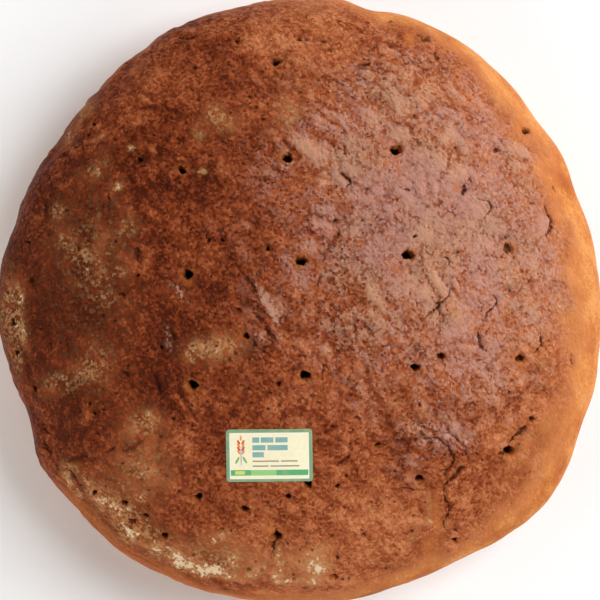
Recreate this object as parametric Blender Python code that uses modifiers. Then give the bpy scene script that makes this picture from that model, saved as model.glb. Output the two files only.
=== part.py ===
"""A large round rye loaf, baked on the stone, with its paper label. Metres, +Z up, base at z = 0.

The crust is a cube grown into a sphere and laid onto the loaf's meridian, so that its faces stay
even in size. The outline, the lean of the dome and the swells of the dough are functions of place.
Docking pricks and splits are then cut into the crust, and the label is laid on top of it.
"""

import math

import bmesh
import bpy
import numpy as np
from mathutils import Matrix, Vector, noise
from mathutils.bvhtree import BVHTree

MM = 0.001
UP = Vector((0, 0, 1))

# The whole loaf
OUTLINE_RADIUS = 178.8 * MM
LOAF_HEIGHT = 90 * MM
WIDEST_HEIGHT = 32 * MM
FOOT_RADIUS = 156 * MM
DOME_FULLNESS = 2.55
SIDE_FULLNESS = 2.2
DOME_LEAN = Vector((-9 * MM, -6 * MM))

# Where the outline swells or draws in: direction in degrees, reach in mm, half width in degrees
LOBES = (
    (22, -2.8, 8),
    (37, -3.0, 5),
    (62, 3.0, 9),
    (76, -2.0, 4),
    (84, 1.6, 5),
    (122, -1.4, 4),
    (143, -5.2, 22),
    (166, -3.0, 5),
    (184, 2.4, 6),
    (203, -4.2, 6),
    (213, 2.6, 7),
    (240, 4.6, 30),
    (320, 12.0, 14),
    (344, 3.0, 9),
)

# Faces along a cube's edge, and the shares of the sphere's area that the dome and side take
CRUST_STEPS = 26
DOME_SHARE = 0.66
SIDE_SHARE = 0.18

# The dough's broad swells and its smaller lumps: wavelength, then height
SWELL_LENGTH = 62 * MM
SWELL_HEIGHT = 2.6 * MM
LUMP_LENGTH = 21 * MM
LUMP_HEIGHT = 0.8 * MM
LUMP_OFFSET = Vector((7, 3, 1))
FOOT_BLEND = 14 * MM

# The photograph that pricks and splits were placed by, by eye: it looks straight down from a height above
# the table, and a pixel spans this much at the loaf's widest. A place in it is its pixel, across and down
EYE_HEIGHT = 1000 * MM
PIXEL_SPAN = 0.6 * MM
PICTURE_MIDDLE = Vector((299.5, 299.5))
SIGHT_STEPS = 6

# Docking pricks and burst bubbles: pixel across, pixel down, then width and depth in mm. The first ones
# stand in dimples
PRICKS = (
    (182, 170, 4.6, 9),
    (287, 159, 5.4, 10),
    (395, 151, 5.6, 12),
    (495, 150, 3.0, 3),
    (188, 274, 5.2, 12),
    (300, 262, 5.4, 12),
    (406, 255, 5.4, 12),
    (507, 248, 5.6, 5),
    (193, 384, 5.6, 13),
    (305, 374, 5.4, 12),
    (414, 366, 4.6, 9),
    (519, 358, 4.8, 6),
    (198, 496, 4.2, 8),
    (308, 484, 3.6, 8),
    (418, 477, 4.4, 6),
    (508, 449, 5.6, 9),
    (275, 62, 4.2, 8),
    (236, 41, 2.2, 3),
    (267, 249, 2.6, 5),
    (222, 239, 2.0, 4),
    (246, 335, 3.4, 6),
    (31, 281, 4.0, 6),
    (44, 208, 3.4, 5),
    (140, 159, 2.6, 4),
    (122, 294, 2.6, 3),
    (94, 492, 2.8, 4),
    (124, 502, 2.8, 4),
    (146, 514, 2.8, 4),
    (132, 520, 3.6, 4),
    (164, 535, 3.8, 5),
    (243, 508, 3.4, 6),
    (287, 496, 3.0, 6),
    (277, 535, 4.0, 6),
    (377, 444, 3.0, 4),
    (335, 576, 2.4, 3),
    (453, 539, 3.0, 4),
    (531, 418, 3.0, 4),
    (440, 355, 4.2, 6),
    (526, 131, 3.6, 5),
    (424, 39, 2.6, 3),
    (414, 236, 2.0, 4),
    (34, 389, 3.0, 4),
    (12, 323, 3.0, 4),
    (15, 352, 3.2, 4),
)
DIMPLED_PRICKS = 17
DIMPLE_WIDTH = 26 * MM
DIMPLE_DEPTH = 1.6 * MM
# A prick's width at its bottom as a share of its mouth, and how strongly it points straight down
PRICK_POINT_SHARE = 0.54
PRICK_UPRIGHT = 2
# The smaller pricks have fewer sides
SMALL_PRICK_WIDTH = 3.5
PRICK_SIDES = (7, 10)

# Splits in the crust: width in mm, then the pixels that a smooth line follows
SPLITS = (
    (1.9, ((544, 207), (549, 218), (550, 227), (543, 236))),
    (1.7, ((480, 200), (490, 203), (490, 209), (483, 222))),
    (2.4, ((464, 183), (464, 188), (463, 194))),
    (1.8, ((450, 286), (441, 303), (430, 313), (421, 320))),
    (1.8, ((486, 294), (495, 301), (484, 318))),
    (1.9, ((478, 332), (480, 339), (483, 347))),
    (1.8, ((540, 331), (541, 338), (540, 346))),
    (1.9, ((431, 432), (446, 433), (458, 441), (466, 454), (465, 466))),
    (1.8, ((428, 437), (443, 443), (452, 455), (447, 468))),
    (2.1, ((459, 468), (447, 481), (444, 497), (449, 507), (443, 528))),
    (2.3, ((525, 426), (519, 432), (511, 440))),
    (2.2, ((276, 541), (273, 548), (271, 558))),
    (2.1, ((88, 455), (79, 457), (67, 461))),
    (2.0, ((43, 422), (44, 429), (50, 435))),
    (2.0, ((68, 469), (73, 476), (79, 487))),
    (1.9, ((251, 342), (261, 350), (273, 355))),
    (1.9, ((264, 327), (271, 335), (275, 340))),
    (2.2, ((153, 372), (157, 384), (160, 394))),
    (1.7, ((340, 172), (350, 184))),
)
SPLIT_SINK = 0.2 * MM
SPLIT_END_SHARE = 0.35
SPLIT_STEPS = 2

# The paper label
LABEL_LENGTH = 49 * MM
LABEL_WIDTH = 30 * MM
LABEL_THICKNESS = 0.25 * MM
LABEL_GAP = 0.3 * MM
LABEL_CENTRE = Vector((-17.4 * MM, -88.0 * MM, 0))
LABEL_TURN = math.radians(0.8)
LABEL_CALM = 12 * MM
LABEL_CELLS = (12, 8)

# A height above the loaf from which pieces are set down on it
DROP_HEIGHT = 0.3


def clear_scene():
    for item in list(bpy.data.objects):
        bpy.data.objects.remove(item)


def make_collection(name):
    group = bpy.data.collections.new(name)
    bpy.context.scene.collection.children.link(group)
    return group


def make_material(name, colour, roughness):
    material = bpy.data.materials.new(name)
    material.use_nodes = True
    shader = material.node_tree.nodes["Principled BSDF"]
    shader.inputs["Base Color"].default_value = (*colour, 1.0)
    shader.inputs["Roughness"].default_value = roughness
    shader.inputs["Metallic"].default_value = 0.0
    return material


def smooth_step(share):
    share = min(max(share, 0.0), 1.0)
    return share * share * (3 - 2 * share)


def outline(direction):
    """The loaf's reach from its middle in a direction, seen from above."""
    reach = OUTLINE_RADIUS
    for centre, height, width in LOBES:
        away = (math.degrees(direction) - centre + 180) % 360 - 180
        reach += height * MM * math.exp(-((away / width) ** 2))
    return reach


def meridian(stations=240):
    """Radius and height from the top, down the side and under to the middle, at even steps of length."""
    turn = np.linspace(0, math.pi / 2, stations)
    power = 2 / DOME_FULLNESS
    dome_radius = OUTLINE_RADIUS * np.sin(turn) ** power
    dome_height = WIDEST_HEIGHT + (LOAF_HEIGHT - WIDEST_HEIGHT) * np.cos(turn) ** power
    power = 2 / SIDE_FULLNESS
    side_radius = FOOT_RADIUS + (OUTLINE_RADIUS - FOOT_RADIUS) * np.cos(turn) ** power
    side_height = WIDEST_HEIGHT * (1 - np.sin(turn) ** power)
    return even_steps(dome_radius, dome_height), even_steps(side_radius, side_height)


def even_steps(radius, height):
    """Functions of a share from 0 to 1 that follow a stretch of the meridian at an even pace."""
    length = np.concatenate([[0], np.cumsum(np.hypot(np.diff(radius), np.diff(height)))])
    length /= length[-1]

    def follow(share):
        return float(np.interp(share, length, radius)), float(np.interp(share, length, height))

    return follow


def lay_on_loaf(point, dome, side):
    """Moves a point of the unit sphere to its place on the smooth loaf."""
    area = (1 - point.z) / 2
    direction = math.atan2(point.y, point.x)
    if area < DOME_SHARE:
        radius, height = dome(math.sqrt(area / DOME_SHARE))
    elif area < DOME_SHARE + SIDE_SHARE:
        radius, height = side((area - DOME_SHARE) / SIDE_SHARE)
    else:
        left = (1 - area) / (1 - DOME_SHARE - SIDE_SHARE)
        radius, height = FOOT_RADIUS * math.sqrt(left), 0.0
    near_rim = (radius / OUTLINE_RADIUS) ** 2
    stretch = 1 + (outline(direction) / OUTLINE_RADIUS - 1) * near_rim
    lean = DOME_LEAN * smooth_step((height - WIDEST_HEIGHT) / (LOAF_HEIGHT - WIDEST_HEIGHT))
    x = radius * stretch * math.cos(direction) + lean.x
    y = radius * stretch * math.sin(direction) + lean.y
    return Vector((x, y, height))


def pixel_span(height):
    """How much a pixel of the photograph spans at a height: what is nearer shows larger."""
    return PIXEL_SPAN * (EYE_HEIGHT - height) / (EYE_HEIGHT - WIDEST_HEIGHT)


def seen_at(place):
    """The pixel of the photograph that shows a place."""
    return PICTURE_MIDDLE + Vector((place.x, -place.y)) / pixel_span(place.z)


def found_at(look, pixel):
    """The place on the crust that a pixel of the photograph shows, and the crust's outward direction."""
    away = Vector(pixel) - PICTURE_MIDDLE
    height = LOAF_HEIGHT
    for _ in range(SIGHT_STEPS):
        span = pixel_span(height)
        top, normal = look(away.x * span, -away.y * span)
        height = top.z
    return top, normal


def outline_middle():
    """Where the middle of the outline lies before the loaf is centred on the origin."""
    turn = np.linspace(-math.pi, math.pi, 721)
    reach = np.array([outline(direction) for direction in turn])
    x = reach * np.cos(turn)
    y = reach * np.sin(turn)
    return Vector(((x.min() + x.max()) / 2, (y.min() + y.max()) / 2, 0))


def label_calm(place):
    """0 under the label, where the crust is smooth, and 1 well away from it."""
    away = place - LABEL_CENTRE
    outside = max(abs(away.x) - LABEL_LENGTH / 2, abs(away.y) - LABEL_WIDTH / 2)
    return smooth_step((outside + LABEL_CALM / 2) / LABEL_CALM)


def relief(place, middle):
    """How far the crust stands out at a place on the smooth loaf."""
    swell = noise.noise(place / SWELL_LENGTH) * SWELL_HEIGHT
    lump = noise.noise(place / LUMP_LENGTH + LUMP_OFFSET) * LUMP_HEIGHT
    calm = label_calm(place - middle)
    height = swell + lump * calm
    if place.z > WIDEST_HEIGHT:
        for across, down, _, _ in PRICKS[:DIMPLED_PRICKS]:
            away = (seen_at(place - middle) - Vector((across, down))).length * pixel_span(place.z)
            height -= DIMPLE_DEPTH * math.exp(-((away / DIMPLE_WIDTH * 2) ** 2)) * calm
    return height * smooth_step(place.z / FOOT_BLEND)


def make_crust(group, material):
    """The whole loaf before anything is cut into it, centred on the origin with its foot at z = 0."""
    mesh = bpy.data.meshes.new("loaf")
    cage = bmesh.new()
    bmesh.ops.create_cube(cage, size=2)
    bmesh.ops.subdivide_edges(cage, edges=cage.edges[:], cuts=CRUST_STEPS - 1, use_grid_fill=True)
    dome, side = meridian()
    for vert in cage.verts:
        vert.co = lay_on_loaf(vert.co.normalized(), dome, side)
    cage.normal_update()
    middle = outline_middle()
    moves = [vert.normal * relief(vert.co, middle) for vert in cage.verts]
    for vert, move in zip(cage.verts, moves):
        vert.co += move
    centre_on_foot(cage)
    bmesh.ops.triangulate(cage, faces=cage.faces[:])
    cage.to_mesh(mesh)
    cage.free()
    mesh.materials.append(material)
    mesh.shade_smooth()
    loaf = bpy.data.objects.new("loaf", mesh)
    group.objects.link(loaf)
    return loaf


def centre_on_foot(cage):
    places = np.array([vert.co for vert in cage.verts])
    middle = (places.min(0) + places.max(0)) / 2
    shift = Vector((-middle[0], -middle[1], 0))
    for vert in cage.verts:
        vert.co += shift


def surface_of(loaf):
    """A function that gives the crust's height and outward direction at a place seen from above."""
    tree = BVHTree.FromPolygons(
        [vert.co for vert in loaf.data.vertices],
        [face.vertices for face in loaf.data.polygons],
    )

    def look(x, y):
        point, normal, _, _ = tree.ray_cast(Vector((x, y, DROP_HEIGHT)), -UP)
        return point, normal

    return look


def make_prick(group, look, pixel, width, depth):
    """A tapered pin that leaves a docking prick when cut from the crust."""
    top, normal = found_at(look, pixel)
    mesh = bpy.data.meshes.new("prick")
    pin = bmesh.new()
    bmesh.ops.create_cone(
        pin,
        cap_ends=True,
        segments=PRICK_SIDES[width > SMALL_PRICK_WIDTH],
        radius1=width * MM / 2 * PRICK_POINT_SHARE,
        radius2=width * MM / 2 * (2 - PRICK_POINT_SHARE),
        depth=depth * MM * 2,
    )
    pin.to_mesh(mesh)
    pin.free()
    cutter = bpy.data.objects.new("prick", mesh)
    cutter.location = top
    cutter.rotation_mode = "QUATERNION"
    cutter.rotation_quaternion = UP.rotation_difference(normal + UP * PRICK_UPRIGHT)
    hide_cutter(cutter, group)


def smooth_line(points):
    """A Catmull-Rom line through the points, as a list of places seen from above."""
    ends = [points[0] * 2 - points[1], *points, points[-1] * 2 - points[-2]]
    line = []
    for before, start, end, after in zip(ends, ends[1:], ends[2:], ends[3:]):
        for step in range(SPLIT_STEPS):
            t = step / SPLIT_STEPS
            line.append(
                0.5
                * (
                    start * 2
                    + (end - before) * t
                    + (before * 2 - start * 5 + end * 4 - after) * t**2
                    + (start * 3 - before - end * 3 + after) * t**3
                )
            )
    return [*line, points[-1]]


def make_split(group, look, width, points):
    """A thin tapering rod along the crust that leaves a split when cut from it."""
    line = smooth_line([found_at(look, pixel)[0].xy for pixel in points])
    curve = bpy.data.curves.new("split", "CURVE")
    curve.dimensions = "3D"
    curve.bevel_depth = width * MM / 2
    curve.bevel_resolution = 1
    curve.use_fill_caps = True
    spline = curve.splines.new("POLY")
    spline.points.add(len(line) - 1)
    for index, place in enumerate(line):
        top, _ = look(place.x, place.y)
        share = index / (len(line) - 1)
        spline.points[index].co = (place.x, place.y, top.z - SPLIT_SINK, 1.0)
        swell = (1 - SPLIT_END_SHARE) * math.sin(math.pi * share)
        spline.points[index].radius = SPLIT_END_SHARE + swell
    rod = bpy.data.objects.new("split_curve", curve)
    bpy.context.scene.collection.objects.link(rod)
    bpy.context.view_layer.update()
    mesh = bpy.data.meshes.new_from_object(rod.evaluated_get(bpy.context.evaluated_depsgraph_get()))
    bpy.data.objects.remove(rod)
    weld_caps(mesh)
    hide_cutter(bpy.data.objects.new("split", mesh), group)


def weld_caps(mesh):
    shape = bmesh.new()
    shape.from_mesh(mesh)
    bmesh.ops.remove_doubles(shape, verts=shape.verts[:], dist=0.01 * MM)
    bmesh.ops.recalc_face_normals(shape, faces=shape.faces[:])
    shape.to_mesh(mesh)
    shape.free()


def hide_cutter(cutter, group):
    cutter.hide_render = True
    cutter.display_type = "WIRE"
    group.objects.link(cutter)


def cut_crust(loaf, group):
    cut = loaf.modifiers.new("pricks and splits", "BOOLEAN")
    cut.operation = "DIFFERENCE"
    cut.operand_type = "COLLECTION"
    cut.collection = group
    cut.solver = "EXACT"


def make_label(group, look, material):
    """The paper label, bent to the crust with a hair's gap under it."""
    mesh = bpy.data.meshes.new("label")
    sheet = bmesh.new()
    columns, rows = LABEL_CELLS
    bmesh.ops.create_grid(sheet, x_segments=columns, y_segments=rows, size=0.5)
    turn = Matrix.Rotation(LABEL_TURN, 2)
    for vert in sheet.verts:
        place = Vector((vert.co.x * LABEL_LENGTH, vert.co.y * LABEL_WIDTH))
        place.rotate(turn)
        place += LABEL_CENTRE.xy
        top, _ = look(place.x, place.y)
        vert.co = (place.x, place.y, top.z + LABEL_GAP)
    sheet.to_mesh(mesh)
    sheet.free()
    mesh.materials.append(material)
    label = bpy.data.objects.new("label", mesh)
    thick = label.modifiers.new("paper", "SOLIDIFY")
    thick.thickness = LABEL_THICKNESS
    thick.offset = 1.0
    group.objects.link(label)
    return label


def build():
    clear_scene()
    parts = make_collection("rye loaf")
    cutters = make_collection("cutters")
    crust = make_material("rye crust", (0.36, 0.14, 0.055), 0.62)
    paper = make_material("label paper", (0.86, 0.83, 0.62), 0.55)
    loaf = make_crust(parts, crust)
    look = surface_of(loaf)
    for across, down, width, depth in PRICKS:
        make_prick(cutters, look, (across, down), width, depth)
    for width, points in SPLITS:
        make_split(cutters, look, width, points)
    cut_crust(loaf, cutters)
    make_label(parts, look, paper)


build()
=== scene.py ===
import math

import bmesh
import bpy
import numpy as np
from mathutils import Matrix, Vector, noise
from mathutils.bvhtree import BVHTree


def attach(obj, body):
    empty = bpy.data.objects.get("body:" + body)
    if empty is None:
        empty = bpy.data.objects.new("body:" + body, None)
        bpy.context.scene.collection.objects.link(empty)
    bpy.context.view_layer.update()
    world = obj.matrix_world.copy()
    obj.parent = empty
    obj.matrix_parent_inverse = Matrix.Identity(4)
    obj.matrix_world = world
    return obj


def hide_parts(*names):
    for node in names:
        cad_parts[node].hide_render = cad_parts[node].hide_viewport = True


# Looks of a large round rye loaf: its baked crust with pricks, cracks and flour, and its paper label.
# Shapes are worked out in millimetres and turned into metres when a mesh is made.
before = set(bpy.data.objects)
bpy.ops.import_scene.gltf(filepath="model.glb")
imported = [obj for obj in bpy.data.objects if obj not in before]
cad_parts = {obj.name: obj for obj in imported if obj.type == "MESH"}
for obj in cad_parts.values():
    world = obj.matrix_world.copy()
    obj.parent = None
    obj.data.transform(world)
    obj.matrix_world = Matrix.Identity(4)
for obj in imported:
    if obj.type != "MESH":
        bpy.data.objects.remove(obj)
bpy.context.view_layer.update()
MM = 0.001

# The whole loaf, as in the solids
OUTLINE_RADIUS = 178.8
LOAF_HEIGHT = 90.0
WIDEST_HEIGHT = 32.0
FOOT_RADIUS = 156.0
DOME_FULLNESS = 2.55
SIDE_FULLNESS = 2.2
DOME_LEAN = np.array([-9.0, -6.0])

# The photograph that marks on the crust were placed by: it looks straight down from a height above the
# table, and a pixel spans this much at the loaf's widest. A place in it is its pixel, across and down
EYE_HEIGHT = 1000.0
PIXEL_SPAN = 0.6
PICTURE_PIXELS = 600
PICTURE_MIDDLE = 299.5

# Where the outline swells or draws in: direction in degrees, reach, half width in degrees
LOBES = (
    (22, -2.8, 8), (37, -3.0, 5), (62, 3.0, 9), (76, -2.0, 4),
    (84, 1.6, 5), (122, -1.4, 4), (143, -5.2, 22), (166, -3.0, 5),
    (184, 2.4, 6), (203, -4.2, 6), (213, 2.6, 7), (240, 4.6, 30),
    (320, 12.0, 14), (344, 3.0, 9),
)

# The dough's broad swells and smaller lumps, as in the solids: wavelength, height. They fade towards the
# foot, and flour from below reaches up to the foot's edge
SWELL = (62.0, 2.6)
LUMP = (21.0, 0.8)
LUMP_OFFSET = np.array([7.0, 3.0, 1.0])
FOOT_BLEND = 14.0
FOOT_EDGE = 6.0

# The baked crust's own relief, finer than the solids': soft bumps, then folds with sharp valleys and smaller
# crumples, each a wavelength and a height
BUMP = (13.0, 0.9)
FOLD = (9.0, 1.8)
CRUMPLE = (4.2, 1.1)
VALLEY_DEPTH = 0.2

# Folds are lower in patches: wavelength, least share of their height. The rim's skin lowers folds and bumps
SMOOTHER_PATCHES = (24.0, 0.25)
RIM_LOWERS_FOLDS = 0.85
RIM_LOWERS_BUMPS = 0.4

# The folds run mostly one way over the top, and waver: direction in degrees, stretch along it, then the
# wavelength and reach of the wavering
GRAIN_TURN = -48
GRAIN_STRETCH = 1.7
FOLD_WARP = (30.0, 9.0)

# Faces along a cube's edge, how near to a mark they are halved and halved again, and the shares of the
# sphere's area that the dome and side take
CRUST_STEPS = 100
FINER_WITHIN = (2.2, 0.8)
DOME_SHARE = 0.78
SIDE_SHARE = 0.16

# Pricks and burst bubbles: pixel across, pixel down, width, depth. The first list's stand in dimples
DIMPLED_PRICKS = (
    (182, 170, 4.6, 9), (287, 159, 5.4, 10), (395, 151, 5.6, 12), (495, 150, 3.0, 3),
    (188, 274, 5.2, 12), (300, 262, 5.4, 12), (406, 255, 5.4, 12), (507, 248, 5.6, 5),
    (193, 384, 5.6, 13), (305, 374, 5.4, 12), (414, 366, 4.6, 9), (519, 358, 4.8, 6),
    (198, 496, 4.2, 8), (308, 484, 3.6, 8), (418, 477, 4.4, 6), (508, 449, 5.6, 9),
    (275, 62, 4.2, 8),
)
PRICKS = (
    *DIMPLED_PRICKS,
    (236, 41, 2.4, 3), (299, 40, 2.6, 4), (323, 41, 2.0, 3), (389, 46, 2.8, 3),
    (389, 21, 2.4, 3), (383, 79, 1.9, 3), (193, 68, 3.0, 3), (255, 107, 2.0, 2),
    (262, 119, 1.8, 2), (309, 119, 1.8, 2), (267, 249, 2.8, 5), (222, 239, 2.0, 4),
    (208, 240, 2.2, 3), (246, 335, 3.8, 6), (140, 159, 2.6, 4), (94, 124, 2.4, 3),
    (87, 135, 2.0, 3), (76, 147, 2.0, 2), (29, 242, 2.0, 3), (137, 274, 2.0, 3),
    (161, 347, 2.2, 3), (94, 413, 2.0, 3), (94, 492, 2.8, 4), (124, 502, 2.8, 4),
    (146, 514, 2.8, 4), (132, 520, 4.2, 4), (164, 535, 4.0, 5), (243, 508, 3.6, 6),
    (287, 496, 3.0, 6), (277, 535, 4.0, 6), (338, 486, 2.8, 3), (303, 512, 2.2, 2),
    (337, 557, 2.2, 3), (335, 576, 2.4, 3), (278, 383, 3.2, 4), (332, 426, 1.7, 2),
    (377, 444, 3.0, 4), (453, 539, 3.0, 4), (531, 418, 3.2, 4), (440, 355, 4.2, 6),
    (456, 252, 2.0, 2), (525, 131, 3.8, 5), (454, 147, 1.9, 2), (424, 39, 3.2, 3),
    (436, 59, 2.8, 3), (414, 236, 2.0, 4), (335, 220, 2.0, 3), (337, 234, 2.0, 3),
    (34, 389, 3.0, 4), (12, 323, 3.0, 4), (15, 352, 3.2, 4), (553, 188, 1.8, 2),
    (454, 67, 2.0, 1), (359, 418, 1.6, 2), (222, 528, 1.6, 2), (477, 453, 2.0, 2),
    (419, 405, 1.8, 2), (172, 419, 2.4, 3), (39, 330, 1.8, 2), (505, 237, 1.6, 2),
    (504, 217, 2.0, 1), (509, 291, 1.6, 2), (514, 340, 1.8, 1), (566, 253, 2.0, 1),
    (436, 303, 2.4, 3), (333, 10, 1.6, 1), (337, 20, 1.8, 2), (301, 17, 1.8, 1),
    (372, 95, 1.6, 1), (50, 178, 1.8, 2), (53, 193, 1.8, 2), (39, 190, 1.6, 2),
    (49, 344, 1.8, 2), (238, 308, 1.8, 2), (345, 475, 1.8, 2), (366, 189, 1.8, 2),
    (89, 403, 1.8, 2),
)
PRICK_WALL = 0.9

# A prick's dark core is this share of its width. Its mouth slants out by a share of its width and sinks by a
# share of its depth, and it goes more downwards than straight in
CORE_SHARE = 0.82
MOUTH_SLANT = 0.22
MOUTH_DEPTH = 0.35
PRICK_UPRIGHT = 2.0
DIMPLE_WIDTH = 26.0
DIMPLE_DEPTH = 1.6

# A prick this deep is painted dark all through as shade, one this wide glows fully, and its halo is this
# share of its width
DARK_DEPTH = 8.0
GLOW_WIDTH = 5.0
HALO_SHARE = 0.8

# Pricks are a little wider than tall
PRICK_FLATNESS = 1.12

# How ragged the edges of pricks and cracks are, in two sizes: wavelength, reach
PRICK_RAGGED = ((2.6, 1.0), (1.3, 0.5))
CRACK_RAGGED = ((3.6, 0.8), (1.5, 0.5))

# A crack's ends and its groove are these shares of its width, and its lips stand this many widths from it
# and this high
CRACK_ENDS = 0.35
GROOVE_SHARE = 0.8
LIP_REACH = 1.9
LIP_HEIGHT = 0.3

# Cracks, creases and torn edges: width, depth, darkness of the shade painted in them, then the pixels that a
# smooth line follows
CRACKS = (
    (1.3, 1.8, 1.0, ((544, 207), (547, 214), (550, 221), (550, 227), (547, 232), (543, 236))),
    (1.2, 1.2, 0.9, ((529, 202), (535, 203))),
    (0.9, 1.1, 0.8, ((476, 199), (484, 200), (490, 203), (491, 208), (486, 214), (483, 222))),
    (2.1, 2.4, 1.0, ((464, 183), (464, 188), (463, 194))),
    (1.1, 1.2, 0.9, ((467, 180), (469, 178), (472, 182))),
    (0.9, 1.0, 0.7, ((439, 255), (447, 259), (449, 266))),
    (1.0, 1.3, 0.8, ((450, 286), (448, 294), (441, 303), (436, 309), (428, 314), (421, 320))),
    (1.0, 1.3, 0.8, ((486, 294), (494, 297), (496, 303), (489, 309), (484, 318))),
    (1.5, 1.6, 1.0, ((477, 331), (479, 340), (481, 346), (486, 351))),
    (1.2, 1.4, 0.9, ((540, 331), (541, 338), (540, 346), (533, 353))),
    (1.0, 1.3, 0.7, ((431, 432), (445, 432), (456, 439), (463, 447), (467, 458), (466, 467))),
    (1.2, 1.4, 0.9, ((424, 437), (436, 438), (445, 444), (451, 453), (452, 460), (447, 468), (440, 469))),
    (1.5, 1.9, 0.9, ((466, 467), (459, 468), (453, 476), (447, 481), (444, 489))),
    (1.1, 1.6, 0.8, ((444, 489), (444, 498), (449, 504), (448, 513), (444, 522), (443, 528))),
    (0.9, 0.9, 0.5, ((390, 483), (392, 489), (404, 487), (413, 489), (424, 488), (433, 486))),
    (1.3, 2.2, 1.0, ((525, 426), (519, 432), (508, 442))),
    (2.4, 2.2, 1.0, ((511, 447), (506, 450), (498, 453))),
    (1.3, 2.2, 0.9, ((276, 528), (277, 537), (273, 547), (271, 558))),
    (1.9, 1.9, 0.9, ((88, 455), (79, 457), (67, 461))), (1.2, 1.4, 0.8, ((43, 422), (44, 429), (50, 435))),
    (1.3, 1.5, 0.9, ((43, 441), (46, 447), (51, 454))), (1.3, 1.4, 0.7, ((68, 469), (73, 476), (79, 487))),
    (1.2, 1.3, 0.8, ((58, 157), (68, 155))), (1.2, 1.3, 0.7, ((252, 339), (261, 350), (273, 355))),
    (1.9, 1.6, 0.9, ((264, 329), (271, 334), (275, 340))), (1.3, 1.2, 0.8, ((208, 312), (217, 313))),
    (0.9, 1.0, 0.7, ((350, 323), (355, 327), (354, 333))),
    (1.0, 1.0, 0.7, ((371, 347), (381, 346), (390, 345), (389, 352))),
    (0.9, 1.0, 0.8, ((296, 356), (303, 356), (306, 361))), (1.2, 1.2, 0.8, ((322, 364), (322, 374))),
    (1.2, 1.2, 0.8, ((340, 172), (346, 177), (350, 182), (346, 187))),
    (1.5, 1.8, 0.9, ((153, 372), (157, 384), (160, 394))),
    (1.0, 1.0, 0.7, ((320, 275), (318, 281), (316, 287))),
    (1.8, 1.6, 1.0, ((178, 36), (186, 37), (192, 36))), (1.1, 1.2, 0.9, ((173, 42), (182, 41))),
    (1.4, 1.4, 1.0, ((358, 64), (364, 64), (370, 63))), (1.0, 1.1, 0.8, ((362, 59), (371, 59))),
    (1.0, 1.1, 0.7, ((322, 49), (330, 49), (331, 53))), (1.4, 1.4, 0.9, ((417, 34), (422, 37), (426, 42))),
    (2.8, 3.0, 1.0, ((44, 203), (44, 208), (43, 212))), (2.4, 2.6, 1.0, ((31, 277), (31, 281), (32, 285))),
    (2.0, 2.2, 0.9, ((118, 294), (122, 294), (126, 293))),
    (2.0, 2.0, 1.0, ((133, 161), (139, 159), (143, 155))), (2.6, 1.6, 0.9, ((137, 246), (136, 259))),
    (2.2, 2.0, 1.0, ((120, 370), (125, 373), (129, 376))),
    (1.3, 1.4, 0.8, ((170, 328), (173, 336), (174, 343))), (1.2, 0.9, 0.6, ((80, 124), (86, 117))),
    (1.0, 1.0, 0.6, ((344, 145), (344, 155))), (1.6, 0.9, 0.5, ((275, 147), (285, 148), (293, 153))),
    (1.2, 1.0, 0.6, ((213, 128), (217, 138), (226, 142), (237, 148))),
    (1.4, 1.3, 0.9, ((434, 51), (435, 57))), (1.4, 1.3, 0.9, ((403, 189), (409, 190))),
    (0.9, 0.9, 0.6, ((416, 101), (416, 110))), (0.9, 0.9, 0.6, ((414, 113), (414, 119))),
    (0.9, 0.9, 0.6, ((426, 111), (426, 117))), (0.9, 0.9, 0.6, ((418, 138), (417, 147))),
    (1.4, 1.1, 0.6, ((37, 237), (46, 228))), (0.9, 0.8, 0.6, ((95, 350), (104, 358), (111, 364))),
    (1.1, 1.0, 0.8, ((266, 392), (272, 392))), (1.0, 1.0, 0.7, ((317, 248), (327, 259))),
    (2.0, 1.4, 0.9, ((252, 312), (259, 317), (266, 322))),
    (1.8, 1.3, 0.8, ((236, 268), (246, 277), (254, 291), (262, 306))),
    (1.2, 1.0, 0.7, ((418, 358), (426, 350))), (0.8, 0.8, 0.5, ((543, 273), (543, 283))),
    (1.6, 1.3, 0.6, ((102, 453), (110, 450), (117, 443))),
    (1.4, 1.2, 0.6, ((121, 452), (132, 447), (144, 439))),
    (1.4, 1.3, 0.8, ((336, 465), (344, 460), (350, 453))), (1.2, 1.1, 0.6, ((328, 490), (341, 482))),
    (1.2, 1.1, 0.7, ((360, 529), (364, 534), (369, 541))), (1.4, 1.2, 0.8, ((108, 192), (109, 200))),
    (1.1, 1.0, 0.7, ((571, 355), (571, 367))), (1.0, 1.0, 0.6, ((409, 288), (409, 296))),
)

# Raised flakes and blisters, and sunken scars: pixel across and down, half width and half height in pixels,
# turn in degrees, height and width of the edge
BLISTERS = (
    (428, 460, 41, 29, 0, 1.5, 3.0), (524, 221, 30, 17, 0, 1.0, 3.0), (477, 311, 16, 21, 20, 0.7, 2.0),
    (257, 305, 7, 21, 28, 0.9, 3.0), (262, 337, 11, 6, -25, 0.9, 2.0), (173, 338, 6, 12, 15, 0.8, 2.0),
    (161, 345, 9, 16, 10, -1.2, 3.0), (157, 384, 11, 11, 0, -0.9, 3.0), (454, 192, 7, 12, 10, -1.2, 2.5),
    (275, 548, 9, 16, 5, -1.0, 4.0), (437, 528, 5, 26, 3, -1.1, 2.5), (306, 272, 6, 22, 30, 0.7, 3.0),
    (180, 293, 19, 4, -48, 1.2, 2.5),
)

# From here to the roast, a patch is its pixel across and down, half width and half height in pixels, turn in
# degrees and amount, which fades outwards this fast
PATCH_FADE = 0.9

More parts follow.
